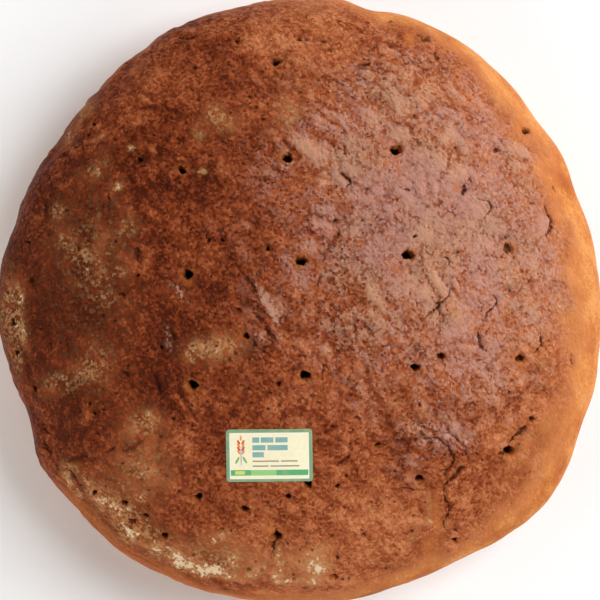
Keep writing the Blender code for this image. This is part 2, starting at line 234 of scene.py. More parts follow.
# Where thin paler dough shows
TORN_PATCHES = (
    (457, 187, 6, 6, 0, 0.8), (498, 453, 4, 3, 0, 0.9), (515, 433, 6, 2, 40, 0.6),
    (437, 518, 5, 30, 3, 0.8), (426, 545, 5, 11, 0, 0.8), (538, 200, 13, 5, 0, 0.5),
    (268, 529, 9, 6, 0, 0.7), (306, 361, 5, 4, 0, 0.6), (303, 254, 9, 5, 0, 0.6),
    (292, 160, 4, 5, 0, 0.6), (412, 256, 5, 5, 0, 0.7), (188, 282, 8, 5, 0, 0.6),
    (308, 491, 6, 5, 0, 0.5), (517, 129, 7, 10, 0, 0.7), (410, 38, 6, 10, 0, 0.9),
    (316, 27, 16, 10, 0, 0.4), (147, 79, 8, 7, 0, 0.4), (87, 416, 2, 6, 0, 0.9),
    (90, 516, 48, 7, -46, 0.7), (176, 577, 58, 7, -27, 0.8), (262, 594, 40, 6, -5, 0.6),
)

# Painted sheen: patches, mostly on the right and on fold tops, where light glancing off the crust is painted
# pale
SHEEN_PATCHES = (
    (482, 247, 112, 156, 0, 0.92), (369, 143, 104, 87, 0, 0.5), (334, 282, 104, 122, 0, 0.32),
    (378, 84, 24, 14, 0, 0.3), (440, 434, 28, 9, -10, 0.5), (545, 471, 17, 14, 0, 0.4),
    (421, 455, 38, 26, 0, 0.18), (338, 178, 6, 9, 0, 0.5), (303, 280, 5, 18, 30, 0.45),
    (268, 303, 4, 24, 32, 0.8), (262, 336, 9, 4, -25, 0.6), (180, 293, 18, 4, -48, 0.8),
    (168, 339, 4, 12, 10, 0.7),
)

# Flour left on the crust
FLOUR_PATCHES = (
    (80, 330, 90, 190, 0, 0.14), (95, 245, 38, 56, 0, 0.2), (89, 172, 10, 8, 0, 0.3),
    (102, 160, 8, 12, 0, 0.3), (117, 186, 5, 4, 30, 0.75), (57, 211, 5, 8, 0, 0.7),
    (129, 226, 8, 9, 0, 0.3), (61, 239, 8, 7, 0, 0.35), (82, 254, 10, 9, 0, 0.22),
    (96, 275, 10, 9, 0, 0.26), (121, 272, 6, 5, 0, 0.36), (104, 297, 12, 8, 0, 0.25),
    (10, 310, 11, 36, 0, 0.65), (17, 363, 5, 15, 12, 0.5), (19, 300, 3, 7, 0, 0.8),
    (18, 324, 4, 8, 0, 0.8), (23, 337, 5, 10, 10, 0.6), (58, 383, 18, 10, 15, 0.4),
    (95, 366, 16, 20, 0, 0.38), (220, 347, 26, 13, 5, 0.68), (192, 352, 12, 12, 0, 0.4),
    (145, 422, 18, 14, 20, 0.48), (143, 470, 30, 32, 0, 0.44), (68, 468, 9, 7, 0, 0.45),
    (69, 481, 3, 9, 30, 0.9), (86, 482, 4, 9, 30, 0.8), (77, 493, 3, 6, 40, 0.7),
    (101, 496, 5, 8, 30, 0.75), (114, 504, 9, 5, -35, 0.75), (108, 508, 34, 16, -42, 0.4),
    (140, 498, 4, 4, 0, 0.9), (130, 534, 11, 9, -45, 0.9), (156, 550, 6, 8, 0, 0.85),
    (150, 535, 44, 13, -38, 0.4), (178, 558, 8, 6, -20, 1.1), (189, 566, 14, 6, -20, 1.55),
    (205, 571, 8, 5, 0, 1.55), (216, 568, 6, 6, 0, 1.4), (229, 575, 8, 4, -20, 1.2),
    (217, 537, 13, 4, 25, 0.9), (232, 560, 5, 9, 0, 0.7), (254, 572, 11, 4, 38, 1.0),
    (220, 555, 50, 18, -12, 0.45), (278, 553, 3, 5, 0, 1.1), (278, 567, 3, 8, 0, 1.2),
    (275, 577, 4, 5, 0, 1.1), (288, 581, 10, 3, 0, 1.3), (311, 554, 4, 4, 0, 0.9),
    (316, 568, 7, 9, 0, 1.3), (324, 567, 7, 4, 15, 1.0), (313, 581, 7, 3, 0, 1.0),
    (302, 562, 24, 16, 0, 0.45), (327, 547, 9, 7, 0, 0.5), (418, 525, 4, 8, -30, 0.7),
    (409, 540, 8, 4, 30, 0.6), (371, 512, 3, 6, -30, 0.95), (381, 498, 2, 3, 0, 0.8),
    (429, 522, 3, 4, 0, 0.6), (428, 503, 4, 12, 0, 0.5), (447, 524, 3, 4, 0, 0.7),
    (464, 440, 4, 3, 0, 0.65), (493, 478, 3, 3, 0, 0.6), (421, 417, 2, 3, 0, 0.8),
    (529, 436, 4, 5, 0, 0.75), (559, 275, 2, 4, 0, 0.9), (557, 297, 6, 7, 0, 0.6),
    (560, 308, 2, 6, 20, 0.9), (541, 363, 6, 5, 0, 0.6), (424, 223, 8, 5, 20, 0.5),
    (454, 314, 7, 8, 0, 0.5), (213, 110, 9, 8, 0, 0.75), (224, 122, 15, 11, 0, 0.6),
    (288, 112, 14, 18, 0, 0.45), (363, 157, 4, 4, 0, 0.6), (201, 170, 6, 3, 0, 1.0),
    (198, 132, 7, 9, 0, 0.5), (86, 108, 7, 14, -40, 0.5), (70, 134, 6, 12, -35, 0.5),
    (99, 137, 8, 2, 25, 0.75), (130, 148, 4, 3, 0, 0.75), (437, 87, 2, 2, 0, 0.9),
    (440, 100, 22, 12, 0, 0.22), (308, 8, 16, 5, 0, 0.4),
)

# Stretches darker or paler, partly the oven's roast and partly painted light and shade: the paler spots on
# the top, bottom and lower left edges paint light on edges that turn away from the lamps, and a broad darker
# one at the left middle paints shade. Each is a pixel across and down, radius in pixels, amount
ROAST_AND_LIGHT_SPOTS = (
    (66, 305, 36, 0.18), (140, 290, 90, 0.06), (85, 395, 28, 0.14), (70, 428, 26, 0.12),
    (157, 384, 26, 0.26), (165, 342, 18, 0.14), (155, 165, 40, 0.1), (90, 225, 60, 0.08),
    (228, 285, 34, 0.08), (213, 292, 15, 0.08), (262, 348, 16, 0.12), (425, 462, 36, 0.18),
    (177, 493, 79, -0.05), (264, 547, 53, -0.1), (132, 100, 50, -0.1), (300, 50, 60, -0.08),
    (370, 150, 60, -0.06), (300, 300, 34, -0.1), (300, 366, 40, -0.08), (520, 160, 46, -0.12),
    (520, 330, 60, -0.09), (440, 90, 50, -0.09), (370, 230, 40, 0.06), (400, 520, 60, -0.16),
    (310, 14, 60, -0.2), (310, 590, 90, -0.16), (60, 500, 60, -0.16),
)

# How roast runs across the loaf, darker to the left and paler to the right, partly real roast and partly
# painted
# shade of light from the right, and how the pale skin of the rim fades in with height, with an edge that
# wobbles:
# wavelength, reach and where in the noise
ROAST_MIDDLE = 0.60
ROAST_AND_SHADE_SLOPE = -0.0013
RIM_TOP = 62.0
RIM_FULL = 36.0
RIM_ROAST = 0.10
RIM_WOBBLE = ((26.0, 6, (3, 8, 5)), (9.0, 4, (6, 2, 5)))

# The pale skin climbs highest to the lower right: direction in degrees, climb
RIM_CLIMB = (-20, 14.0)

# Wavelengths of the crust's patterns, and sizes of its grains and pits
BROAD = 38.0
PATCHY = 15.0
BLOTCH = 9.0
CLUMP = 5.0
MOTTLE = 3.4
FINE = 1.6
JAGGED = 1.3
GRAIN = 1.5
PIT = 3.6

# Wavelengths of the paper's fibre and stains and of the floor's faint shades
FIBRE = 1.6
STAIN = 7.0
FLOOR_SHADES = 400.0

# Depths of relief that only shows in the shading: the crust's mottle and fine grain, and the paper's
MOTTLE_DEPTH = 2.2
FINE_DEPTH = 0.35
PAPER_DEPTH = 0.05

# Colours of the crust by how far it is baked, and of the rim's skin
CRUST_COLOURS = (
    (0.05, (0.56, 0.205, 0.085)),
    (0.22, (0.46, 0.145, 0.054)),
    (0.45, (0.32, 0.079, 0.025)),
    (0.68, (0.185, 0.034, 0.009)),
    (0.95, (0.070, 0.011, 0.003)),
)
RIM_COLOURS = (
    (0.15, (0.36, 0.085, 0.016)),
    (0.45, (0.46, 0.135, 0.032)),
    (0.75, (0.60, 0.220, 0.060)),
    (0.95, (0.64, 0.270, 0.085)),
)

# The rim's skin is paler to the right, by this much a millimetre, and crust is darker under its painted
# sheen
RIM_SLOPE = 0.0010
SHEEN_UNDERTONE = 0.07
CRUST_SPECULAR = 0.04

# Thin dough, painted shade in holes and cracks, painted sheen in two shades, thin and thick flour, and the
# foot
PALE_SKIN = (0.50, 0.150, 0.034)
HOLE_SHADE = (0.022, 0.007, 0.003)
CRACK_SHADE = (0.062, 0.014, 0.006)
SHEEN_COLOUR = (0.49, 0.260, 0.206)
WARM_SHEEN_COLOUR = (0.54, 0.292, 0.184)
HAZE_COLOUR = (0.56, 0.290, 0.115)
FLOUR_COLOUR = (0.80, 0.61, 0.39)
FOOT_COLOUR = (0.30, 0.17, 0.085)

# The paper label, as in the solids
LABEL_LENGTH = 49.0
LABEL_WIDTH = 30.0
LABEL_THICKNESS = 0.18
LABEL_GAP = 0.3
LABEL_CENTRE = np.array([-17.4, -88.0])
LABEL_TURN = math.radians(0.8)
LABEL_CALM = 12.0
LABEL_CELLS = (70, 44)
LABEL_CORNER = 2.0
LABEL_SETTLING = 30

# How far its right corners curl up, the left ones' share of that, and how close to a corner the curl keeps
LABEL_CURL = 0.9
LEFT_CURL = 0.4
CURL_POWER = 6

# The label's print, in millimetres from its lower left corner: left, right, low, high, then a colour
LABEL_GREEN = (0.205, 0.345, 0.190)
LABEL_CREAM = (0.93, 0.86, 0.60)
LABEL_WHITE = (0.93, 0.92, 0.80)
LABEL_TEAL = (0.20, 0.42, 0.40)
LABEL_GREY = (0.30, 0.28, 0.20)
LABEL_STAIN = (0.80, 0.62, 0.36)
LABEL_FIELDS = (
    ((2.0, 47.0, 1.6, 28.0), LABEL_WHITE),
    ((2.5, 46.5, 2.0, 27.5), LABEL_CREAM),
    ((15.0, 19.0, 22.4, 25.4), LABEL_TEAL),
    ((19.8, 27.0, 22.4, 25.4), LABEL_TEAL),
    ((28.0, 35.0, 22.4, 25.4), LABEL_TEAL),
    ((15.0, 22.5, 18.0, 21.0), LABEL_TEAL),
    ((23.5, 35.0, 18.0, 21.0), LABEL_TEAL),
    ((15.0, 21.5, 14.0, 17.0), LABEL_TEAL),
    ((15.0, 30.0, 11.4, 12.2), LABEL_GREY),
    ((31.0, 40.5, 11.4, 12.2), LABEL_GREY),
    ((15.0, 24.0, 8.6, 9.4), LABEL_GREY),
    ((25.0, 41.5, 8.6, 9.4), LABEL_GREY),
    ((2.5, 46.5, 3.6, 6.8), (0.10, 0.42, 0.16)),
    ((14.0, 28.5, 3.6, 6.8), (0.30, 0.60, 0.22)),
    ((5.0, 10.5, 4.2, 6.2), (0.62, 0.72, 0.16)),
)

# An ear of rye, of slim ellipses: each one's middle, length, width, turn in degrees and colour. Its grains
# lean out in pairs up the stem
EAR_STEM = (0.20, 0.26, 0.50)
EAR_GREEN = (0.10, 0.45, 0.12)
EAR_COLOURS = ((0.85, 0.30, 0.06), (0.60, 0.06, 0.07))
EAR_MIDDLE = 8.5
EAR_SPREAD = 1.25
EAR_LEAN = 32
EAR_ROWS = (17.0, 18.9, 20.8, 22.7)
LABEL_LEAVES = (
    (EAR_MIDDLE, 14.6, 11.0, 0.5, 90, EAR_STEM),
    (6.4, 12.4, 4.6, 1.2, 60, EAR_GREEN),
    (10.6, 12.6, 4.6, 1.2, 120, EAR_GREEN),
    *[
        (EAR_MIDDLE + side * EAR_SPREAD, height, 2.9, 1.25, 90 - side * EAR_LEAN, EAR_COLOURS[row % 2])
        for row, height in enumerate(EAR_ROWS)
        for side in (-1, 1)
    ],
    (EAR_MIDDLE, 25.0, 3.0, 1.2, 90, EAR_COLOURS[0]),
)

# The floor, a hair under the loaf, in metres
FLOOR_REACH = 3.0
FLOOR_DROP = 0.0002

# The room's even light, then soft lights: name, azimuth and elevation in degrees, distance and size in
# metres, brightness and colour
ROOM_COLOUR = (1.0, 0.985, 0.96)
ROOM_BRIGHTNESS = 0.06
LIGHTS = (
    ("window", 25, 52, 1.6, 0.9, 7.4, (0.93, 0.96, 1.0)),
    ("raking", 12, 22, 1.8, 0.9, 6.5, (1.0, 0.97, 0.93)),
    ("left_fill", 203, 20, 1.8, 1.0, 3.9, (1.0, 0.96, 0.91)),
    ("top_fill", 105, 27, 1.8, 1.0, 3.5, (1.0, 0.96, 0.91)),
    ("low_fill", 262, 22, 1.8, 1.0, 4.6, (1.0, 0.96, 0.91)),
)

# The camera's sensor, and the height from which the crust's own is looked up, straight down
SENSOR_WIDTH = 36.0
DROP_HEIGHT = 300.0
UP = Vector((0, 0, 1))


# Shape of the loaf


def smooth_step(share):
    share = np.clip(share, 0.0, 1.0)
    return share * share * (3 - 2 * share)


def outline(direction):
    """The loaf's reach from its middle in a direction, seen from above."""
    reach = np.full_like(direction, OUTLINE_RADIUS)
    for centre, height, width in LOBES:
        away = (np.degrees(direction) - centre + 180) % 360 - 180
        reach += height * np.exp(-((away / width) ** 2))
    return reach


def even_steps(radius, height):
    """A function of a share from 0 to 1 that follows a stretch of the meridian at an even pace."""
    length = np.concatenate([[0], np.cumsum(np.hypot(np.diff(radius), np.diff(height)))])
    length /= length[-1]

    def follow(share):
        return np.interp(share, length, radius), np.interp(share, length, height)

    return follow


def meridian(stations=240):
    """The dome from the top down to the widest ring, then the side down to the foot."""
    turn = np.linspace(0, math.pi / 2, stations)
    power = 2 / DOME_FULLNESS
    dome_radius = OUTLINE_RADIUS * np.sin(turn) ** power
    dome_height = WIDEST_HEIGHT + (LOAF_HEIGHT - WIDEST_HEIGHT) * np.cos(turn) ** power
    power = 2 / SIDE_FULLNESS
    side_radius = FOOT_RADIUS + (OUTLINE_RADIUS - FOOT_RADIUS) * np.cos(turn) ** power
    side_height = WIDEST_HEIGHT * (1 - np.sin(turn) ** power)
    return even_steps(dome_radius, dome_height), even_steps(side_radius, side_height)


def lay_on_loaf(points):
    """Moves points of a cube round the origin to their places on the smooth loaf."""
    unit = points / np.linalg.norm(points, axis=1)[:, None]
    area = (1 - unit[:, 2]) / 2
    direction = np.arctan2(unit[:, 1], unit[:, 0])
    dome, side = meridian()
    dome_radius, dome_height = dome(np.sqrt(np.clip(area / DOME_SHARE, 0, 1)))
    side_radius, side_height = side(np.clip((area - DOME_SHARE) / SIDE_SHARE, 0, 1))
    left = np.clip((1 - area) / (1 - DOME_SHARE - SIDE_SHARE), 0, 1)
    on_dome = area < DOME_SHARE
    on_foot = area >= DOME_SHARE + SIDE_SHARE
    radius = np.where(on_dome, dome_radius, np.where(on_foot, FOOT_RADIUS * np.sqrt(left), side_radius))
    height = np.where(on_dome, dome_height, np.where(on_foot, 0.0, side_height))
    near_rim = (radius / OUTLINE_RADIUS) ** 2
    stretch = 1 + (outline(direction) / OUTLINE_RADIUS - 1) * near_rim
    lean = smooth_step((height - WIDEST_HEIGHT) / (LOAF_HEIGHT - WIDEST_HEIGHT))[:, None] * DOME_LEAN
    x = radius * stretch * np.cos(direction) + lean[:, 0]
    y = radius * stretch * np.sin(direction) + lean[:, 1]
    return np.stack([x, y, height], axis=1)


def noise_at(places, length, offset=(0.0, 0.0, 0.0)):
    """Smooth noise from about -1 to 1 with a wavelength."""
    return np.array([noise.noise(place) for place in (places / length + np.array(offset)).tolist()])


def pixel_span(height):
    """How much a pixel of the photograph spans at a height: what is nearer shows larger."""
    return PIXEL_SPAN * (EYE_HEIGHT - height) / (EYE_HEIGHT - WIDEST_HEIGHT)


# A pixel's span on the loaf's top, by which widths are turned into pixels there
TOP_SPAN = pixel_span(LOAF_HEIGHT)


def seen_at(places):
    """The pixel of the photograph, across and down, that shows each place."""
    return PICTURE_MIDDLE + places[:, :2] * (1, -1) / pixel_span(places[:, 2])[:, None]


def label_calm(xy):
    """0 under the label, where the crust is smooth, and 1 well away from it."""
    away = np.abs(xy - LABEL_CENTRE)
    outside = np.maximum(away[:, 0] - LABEL_LENGTH / 2, away[:, 1] - LABEL_WIDTH / 2)
    return smooth_step((outside + LABEL_CALM / 2) / LABEL_CALM)


def ellipse_reach(pixels, across, down, half_width, half_height, turn):
    """Distance from an ellipse's middle, 1 on its edge."""
    angle = math.radians(turn)
    away = (pixels - (across, down)) * (1, -1)
    along = away[:, 0] * math.cos(angle) + away[:, 1] * math.sin(angle)
    sideways = away[:, 1] * math.cos(angle) - away[:, 0] * math.sin(angle)
    return np.hypot(along / half_width, sideways / half_height)


def smooth_line(points, steps=5):
    """A Catmull-Rom line through the points."""
    points = [np.array(point) for point in points]
    ends = [points[0] * 2 - points[1], *points, points[-1] * 2 - points[-2]]
    line = []
    for before, start, end, after in zip(ends, ends[1:], ends[2:], ends[3:]):
        for step in range(steps):
            t = step / steps
            square = (before * 2 - start * 5 + end * 4 - after) * t**2
            cube = (start * 3 - before - end * 3 + after) * t**3
            line.append(0.5 * (start * 2 + (end - before) * t + square + cube))
    return np.array([*line, points[-1]])


def near_line(pixels, line, margin):
    """Which pixels lie near a line, their distance from it, and how far along it they are, from 0 to 1."""
    close = ((pixels > line.min(0) - margin) & (pixels < line.max(0) + margin)).all(1).nonzero()[0]
    there = pixels[close]
    best = np.full(len(close), np.inf)
    share = np.zeros(len(close))
    for index, (start, end) in enumerate(zip(line, line[1:])):
        run = end - start
        along = np.clip(((there - start) @ run) / (run @ run), 0, 1)
        away = np.hypot(*(there - start - along[:, None] * run).T)
        closer = away < best
        best = np.where(closer, away, best)
        share = np.where(closer, (index + along) / (len(line) - 1), share)
    return close, best, share


def crack_lines():
    """Each crack's width in pixels, its depth and darkness, and its line."""
    return [(width / TOP_SPAN, depth, dark, smooth_line(pixels)) for width, depth, dark, pixels in CRACKS]


# The crust's mesh


def cage_places(cage):
    return np.array([vert.co for vert in cage.verts])


def near_features(places, margin):
    """True where a place on the dome is within a margin of a prick or a crack."""
    pixels = seen_at(places)
    margin = margin / TOP_SPAN
    near = np.zeros(len(pixels), bool)
    for across, down, width, _ in PRICKS:
        near |= np.hypot(*(pixels - (across, down)).T) < width / TOP_SPAN / 2 + margin
    for width, _, _, line in crack_lines():
        close, away, _ = near_line(pixels, line, margin + width)
        near[close] |= away < width / 2 + margin
    return near & (places[:, 2] > WIDEST_HEIGHT)


def make_cage():
    """A cube of even faces, cut finer where pricks and cracks will be."""
    cage = bmesh.new()
    bmesh.ops.create_cube(cage, size=2)
    bmesh.ops.subdivide_edges(cage, edges=cage.edges[:], cuts=CRUST_STEPS - 1, use_grid_fill=True)
    for margin in FINER_WITHIN:
        cage.verts.index_update()
        near = near_features(lay_on_loaf(cage_places(cage)) - crust_shift(), margin)
        edges = [edge for edge in cage.edges if near[edge.verts[0].index] and near[edge.verts[1].index]]
        bmesh.ops.subdivide_edges(cage, edges=edges, cuts=1, use_grid_fill=True)
    bmesh.ops.triangulate(cage, faces=[face for face in cage.faces if len(face.verts) > 4])
    return cage


def crust_shift():
    """How far the middle of the loaf's outline lies from the origin of its formulas."""
    turn = np.linspace(-math.pi, math.pi, 721)
    reach = outline(turn)
    x = reach * np.cos(turn)
    y = reach * np.sin(turn)
    return np.array([(x.min() + x.max()) / 2, (y.min() + y.max()) / 2, 0.0])


def normals_of(mesh, places):
    """Normals of the mesh with its points at those places."""
    mesh.vertices.foreach_set("co", places.astype(np.float32).ravel())
    mesh.update()
    found = np.zeros(len(places) * 3, np.float32)
    mesh.vertices.foreach_get("normal", found)
    return found.reshape(-1, 3).astype(float)


def dough_relief(places, shift):
    """The swells, lumps and dimples that the solids have too."""
    centred = places - shift
    calm = label_calm(centred[:, :2])
    height = noise_at(places, SWELL[0]) * SWELL[1]
    height += noise_at(places, LUMP[0], LUMP_OFFSET) * LUMP[1] * calm
    on_dome = places[:, 2] > WIDEST_HEIGHT
    pixels = seen_at(centred)
    for across, down, _, _ in DIMPLED_PRICKS:
        away = np.hypot(*(pixels - (across, down)).T) * pixel_span(places[:, 2])
        height -= DIMPLE_DEPTH * np.exp(-((away / DIMPLE_WIDTH * 2) ** 2)) * calm * on_dome
    return height * smooth_step(places[:, 2] / FOOT_BLEND)


def rim_share(places):
    """1 on the smooth pale skin low on the rim, 0 on the rough top."""
    wobble = sum(noise_at(places, length, offset) * reach for length, reach, offset in RIM_WOBBLE)
    direction = np.arctan2(places[:, 1], places[:, 0]) - math.radians(RIM_CLIMB[0])
    top = RIM_TOP + RIM_CLIMB[1] * np.cos(direction)
    return smooth_step((top - places[:, 2] + wobble) / (RIM_TOP - RIM_FULL))


def along_grain(places):
    """Places squeezed along the way that the folds run, so that noise there comes out stretched."""
    angle = math.radians(GRAIN_TURN)
    along = np.array([math.cos(angle), math.sin(angle), 0.0])
    return places - (places @ along * (1 - 1 / GRAIN_STRETCH))[:, None] * along


def baked_relief(places, rim):
    """Height of the baked crust's folds and bumps, and 0 in the folds' valleys to 1 on their ridges."""
    drift = [noise_at(places, FOLD_WARP[0], offset) for offset in ((1, 5, 2), (7, 3, 6), (9, 1, 4))]
    squeezed = along_grain(places + np.stack(drift, axis=1) * FOLD_WARP[1])
    length, least = SMOOTHER_PATCHES
    patch = least + (1 - least) * smooth_step(noise_at(places, length, (4, 4, 9)) * 2 + 0.6)
    calm = label_calm(places[:, :2])
    rough = (1 - RIM_LOWERS_FOLDS * rim) * calm * patch
    fold = np.abs(noise_at(squeezed, FOLD[0], (2, 9, 4))) - VALLEY_DEPTH
    crumple = np.abs(noise_at(squeezed, CRUMPLE[0], (5, 1, 8))) - VALLEY_DEPTH
    height = (fold * FOLD[1] + crumple * CRUMPLE[1]) * rough
    ridge = 0.5 + height / (FOLD[1] + CRUMPLE[1]) / VALLEY_DEPTH / 2
    bump = noise_at(squeezed, BUMP[0], (8, 8, 3)) * BUMP[1] * calm * (1 - RIM_LOWERS_BUMPS * rim)
    return height + bump, ridge


def blister_relief(pixels):
    height = np.zeros(len(pixels))
    for across, down, half_width, half_height, turn, rise, edge in BLISTERS:
        reach = ellipse_reach(pixels, across, down, half_width, half_height, turn)
        inside = (1 - reach) * min(half_width, half_height) * TOP_SPAN
        height += rise * smooth_step(inside / edge + 0.5)
    return height


def ragged(places, sizes):
    """The pixels that show the places, each moved a little, so that edges found there come out ragged."""
    shift = np.zeros((len(places), 2))
    for length, reach in sizes:
        both_ways = [noise_at(places, length, offset) for offset in ((3, 2, 7), (8, 5, 1))]
        shift += np.stack(both_ways, axis=1) * reach / TOP_SPAN
    return seen_at(places) + shift


def cracks_in(places, on_dome):
    """Depth of the cracks less their raised lips, and how dark the shade painted in them is."""
    pixels = ragged(places, CRACK_RAGGED)
    depth, lip, dark = np.zeros((3, len(pixels)))
    for width, deepest, darkness, line in crack_lines():
        close, away, share = near_line(pixels, line, width * 4)
        taper = CRACK_ENDS + (1 - CRACK_ENDS) * np.sin(np.pi * share)
        groove = np.exp(-((away / (width * taper * GROOVE_SHARE)) ** 2))
        depth[close] = np.maximum(depth[close], groove * deepest * taper)
        dark[close] = np.maximum(dark[close], groove * darkness)
        lip[close] = np.maximum(lip[close], np.exp(-((away / width - LIP_REACH) ** 2)) * taper)
    return (depth - lip * LIP_HEIGHT) * on_dome, dark * on_dome


def pricks_in(places, on_dome):
    """Depth of the pricks, how dark the shade painted in them is, and the glow of thin crust round them."""
    pixels = ragged(places, PRICK_RAGGED)
    depth, dark, glow = np.zeros((3, len(pixels)))
    for across, down, width, deepest in PRICKS:
        core = np.array([across, down])
        out = core - PICTURE_MIDDLE
        mouth = core + out / np.hypot(*out) * width / TOP_SPAN * MOUTH_SLANT
        flatten = np.array([1 / PRICK_FLATNESS, PRICK_FLATNESS]) * TOP_SPAN
        from_core = np.hypot(*((pixels - core) * flatten).T)
        from_mouth = np.hypot(*((pixels - mouth) * flatten).T)
        inside = smooth_step((width * CORE_SHARE / 2 + PRICK_WALL / 2 - from_core) / PRICK_WALL)
        open_share = smooth_step((width / 2 + PRICK_WALL / 2 - from_mouth) / PRICK_WALL)
        sunk = open_share * MOUTH_DEPTH + inside * (1 - MOUTH_DEPTH)
        depth = np.maximum(depth, sunk * deepest)
        dark = np.maximum(dark, inside * min(1.0, deepest / DARK_DEPTH))
        halo = np.exp(-((from_mouth / width / HALO_SHARE) ** 2))
        glow = np.maximum(glow, np.maximum(open_share, halo) * min(1.0, width / GLOW_WIDTH))
    return depth * on_dome, dark * on_dome, glow * on_dome


def patch_sum(pixels, patches):
    total = np.zeros(len(pixels))
    for across, down, half_width, half_height, turn, amount in patches:
        reach = ellipse_reach(pixels, across, down, half_width, half_height, turn)
        total += amount * np.exp(-(reach**2) * PATCH_FADE)
    return total


def roast_and_painted_light_at(places, pixels, rim):
    """0 where the crust is palest, 1 where it is burnt, partly by roast and partly by painted light and
    shade.
    """
    roast_and_painted_light = ROAST_MIDDLE + ROAST_AND_SHADE_SLOPE * places[:, 0]
    spots = [(across, down, radius, radius, 0, amount) for across, down, radius, amount in ROAST_AND_LIGHT_SPOTS]
    return (roast_and_painted_light + patch_sum(pixels, spots)) * (1 - rim) + RIM_ROAST * rim


def new_object(name, data):
    item = bpy.data.objects.new(name, data)
    bpy.context.scene.collection.objects.link(item)
    return item


def keep(mesh, name, values):
    attribute = mesh.attributes.new(name, "FLOAT", "POINT")
    attribute.data.foreach_set("value", np.clip(values, 0, 2).astype(np.float32))


def make_crust():
    cage = make_cage()
    smooth = lay_on_loaf(cage_places(cage))
    mesh = bpy.data.meshes.new("crust")
    cage.to_mesh(mesh)
    cage.free()
    shift = crust_shift()
    places = smooth + normals_of(mesh, smooth) * dough_relief(smooth, shift)[:, None] - shift
    normals = normals_of(mesh, places)
    pixels = seen_at(places)
    on_dome = places[:, 2] > WIDEST_HEIGHT
    off_foot = smooth_step(places[:, 2] / FOOT_BLEND)
    rim = rim_share(places)
    baked, ridge = baked_relief(places, rim)
    crack_depth, crack_dark = cracks_in(places, on_dome)
    prick_depth, prick_dark, glow = pricks_in(places, on_dome)
    rise = (baked + blister_relief(pixels) * on_dome - crack_depth) * off_foot
    down = normals + np.array([0.0, 0.0, PRICK_UPRIGHT])
    down /= np.linalg.norm(down, axis=1)[:, None]
    final = places + normals * rise[:, None] - down * prick_depth[:, None]
    torn = patch_sum(pixels, TORN_PATCHES) * on_dome
    keep(mesh, "roast_and_painted_light", roast_and_painted_light_at(places, pixels, rim))
    keep(mesh, "rim", rim)
    keep(mesh, "painted_sheen", patch_sum(pixels, SHEEN_PATCHES) * (1 - rim))
    keep(mesh, "flour", patch_sum(pixels, FLOUR_PATCHES) * on_dome)
    keep(mesh, "ridge", ridge)
    keep(mesh, "crack", crack_dark)
    keep(mesh, "prick", prick_dark)
    keep(mesh, "glow", np.maximum(glow, torn))
    keep(mesh, "foot", 1 - smooth_step(places[:, 2] / FOOT_EDGE))
    normals_of(mesh, final * MM)
    mesh.shade_smooth()
    return new_object("crust", mesh)


# The label's mesh


def label_outline(u, v):
    """A place on the flat label, with its corners rounded, from two shares of -1 to 1."""
    x = u * LABEL_LENGTH / 2
    y = v * LABEL_WIDTH / 2
    inner = Vector((LABEL_LENGTH / 2 - LABEL_CORNER, LABEL_WIDTH / 2 - LABEL_CORNER))
    over = Vector((max(abs(x) - inner.x, 0), max(abs(y) - inner.y, 0)))
    if over.x > 0 and over.y > 0 and over.length > LABEL_CORNER:
        over = over.normalized() * LABEL_CORNER
        x = math.copysign(inner.x + over.x, x)
        y = math.copysign(inner.y + over.y, y)
    return x, y


def crust_heights(crust, places):
    """Heights of the crust straight under places seen from above, in millimetres."""
    tree = BVHTree.FromPolygons(
        [vert.co / MM for vert in crust.data.vertices],
        [face.vertices for face in crust.data.polygons],
    )
    return [tree.ray_cast(Vector((x, y, DROP_HEIGHT)), -UP)[0].z for x, y in places]


def settle(heights, under):
    """Smooths a grid of heights as paper would, keeping it just above what is under it."""
    for _ in range(LABEL_SETTLING):
        wide = np.pad(heights, 1, mode="reflect", reflect_type="odd")
        around = (wide[:-2, 1:-1] + wide[2:, 1:-1] + wide[1:-1, :-2] + wide[1:-1, 2:]) / 4
        heights = np.maximum(around, under)
    return heights


def make_label(crust):
    columns, rows = LABEL_CELLS
    mesh = bpy.data.meshes.new("paper_label")
    sheet = bmesh.new()
    bmesh.ops.create_grid(sheet, x_segments=columns, y_segments=rows, size=1)
    flat = [label_outline(vert.co.x, vert.co.y) for vert in sheet.verts]
    turn = Matrix.Rotation(LABEL_TURN, 2)
    places = [turn @ Vector(place) + Vector(LABEL_CENTRE) for place in flat]
    under = np.array(crust_heights(crust, places)) + LABEL_GAP
    grid = under.reshape(rows + 1, columns + 1)
    heights = settle(grid, grid).ravel()
    uv_layer = sheet.loops.layers.uv.new("print")
    for vert, place, (x, y), height in zip(sheet.verts, places, flat, heights):
        share = abs(x) / (LABEL_LENGTH / 2) * abs(y) / (LABEL_WIDTH / 2)
        lift = LABEL_CURL * share**CURL_POWER * (1 if x > 0 else LEFT_CURL)
        vert.co = Vector((place.x, place.y, height + lift)) * MM
    sheet.verts.index_update()
    for face in sheet.faces:
        for loop in face.loops:
            x, y = flat[loop.vert.index]
            loop[uv_layer].uv = (x + LABEL_LENGTH / 2, y + LABEL_WIDTH / 2)
    sheet.to_mesh(mesh)
    sheet.free()
    mesh.shade_smooth()
    label = new_object("paper_label", mesh)
    thick = label.modifiers.new("paper", "SOLIDIFY")
    thick.thickness = LABEL_THICKNESS * MM
    thick.offset = 1.0
    return label


# Materials


def new_material(name):
    material = bpy.data.materials.new(name)
    material.use_nodes = True
    tree = material.node_tree
    return material, tree, tree.nodes["Principled BSDF"]


